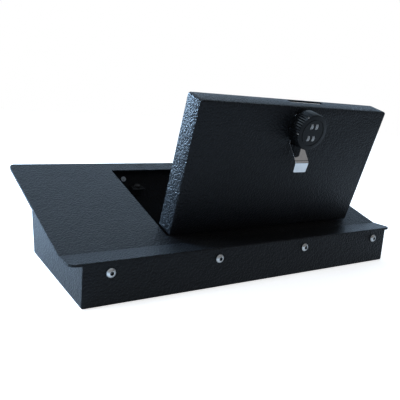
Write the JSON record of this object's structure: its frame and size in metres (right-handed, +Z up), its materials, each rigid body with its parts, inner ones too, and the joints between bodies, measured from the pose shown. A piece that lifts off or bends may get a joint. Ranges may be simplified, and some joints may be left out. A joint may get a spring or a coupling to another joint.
{
  "type": "under-seat vehicle safe",
  "caption": "Low sheet-steel safe for under a vehicle seat: tub, pitched top plate and a hinged pan lid with a combination knob lock and finger pull.",
  "frame": {"origin": "centre of the tub's bottom face, between the front skirt's outer face and the back bottom edge", "axes": "+X right along the front wall, +Y from the front wall to the back, +Z up"},
  "size_m": [0.444, 0.2307, 0.2009],
  "materials": {
    "powder_coat": "fine textured black powder coat",
    "zinc_steel": "zinc plated",
    "chrome": "polished",
    "black_plastic": "satin black moulding",
    "pale_wheel": "satin pale grey",
    "rubber": "matte black"
  },
  "bodies": {
    "housing": {"tub_shell": "powder_coat", "top_plate": "powder_coat", "rest_tab_left": "powder_coat", "rest_tab_right": "powder_coat", "bumper_left": "rubber", "bumper_right": "rubber", "front_screw_1": "zinc_steel", "front_screw_2": "zinc_steel", "front_screw_3": "zinc_steel", "front_screw_4": "zinc_steel", "front_nut_1": "zinc_steel", "front_nut_2": "zinc_steel", "front_nut_3": "zinc_steel", "front_nut_4": "zinc_steel", "back_rivet_1": "zinc_steel", "back_rivet_2": "zinc_steel", "back_rivet_3": "zinc_steel", "back_rivet_4": "zinc_steel", "hinge_fixed_leaf": "zinc_steel", "hinge_pin": "zinc_steel", "fixed_leaf_rivet_1": "zinc_steel", "fixed_leaf_rivet_2": "zinc_steel", "fixed_leaf_rivet_3": "zinc_steel", "fixed_leaf_rivet_4": "zinc_steel"},
    "lid": {"lid_pan": "powder_coat", "hinge_moving_leaf": "zinc_steel", "moving_leaf_rivet_1": "zinc_steel", "moving_leaf_rivet_2": "zinc_steel", "moving_leaf_rivet_3": "zinc_steel", "moving_leaf_rivet_4": "zinc_steel", "pull_plate": "chrome", "lock_housing": "black_plastic", "lock_washer": "zinc_steel", "lock_nut": "zinc_steel"},
    "lock_knob": {"knob": "black_plastic", "spindle": "zinc_steel", "cam": "zinc_steel", "cam_screw": "zinc_steel", "wheel_axle_upper": "zinc_steel", "wheel_axle_lower": "zinc_steel"},
    "wheel_1": {"number_wheel_1": "pale_wheel"},
    "wheel_2": {"number_wheel_2": "pale_wheel"},
    "wheel_3": {"number_wheel_3": "pale_wheel"},
    "wheel_4": {"number_wheel_4": "pale_wheel"}
  },
  "joints": [
    {"name": "lid_hinge", "type": "hinge", "parent": "housing", "child": "lid", "pos_m": [0.04, -0.04139, 0.05063], "axis": [1, 0, 0], "range_deg": [-88.4, 0]},
    {"name": "lock_turn", "type": "hinge", "parent": "lid", "child": "lock_knob", "pos_m": [0.041, -0.07639, 0.17432], "axis": [0, -0.9622, -0.2723], "range_deg": [0, 90]},
    {"name": "number_wheel_1_turn", "type": "hinge", "parent": "lock_knob", "child": "wheel_1", "pos_m": [0.0374, -0.09796, 0.17528], "axis": [1, 0, 0], "continuous": true},
    {"name": "number_wheel_2_turn", "type": "hinge", "parent": "lock_knob", "child": "wheel_2", "pos_m": [0.0446, -0.09796, 0.17528], "axis": [1, 0, 0], "continuous": true},
    {"name": "number_wheel_3_turn", "type": "hinge", "parent": "lock_knob", "child": "wheel_3", "pos_m": [0.0374, -0.09426, 0.16219], "axis": [1, 0, 0], "continuous": true},
    {"name": "number_wheel_4_turn", "type": "hinge", "parent": "lock_knob", "child": "wheel_4", "pos_m": [0.0446, -0.09426, 0.16219], "axis": [1, 0, 0], "continuous": true}
  ]
}
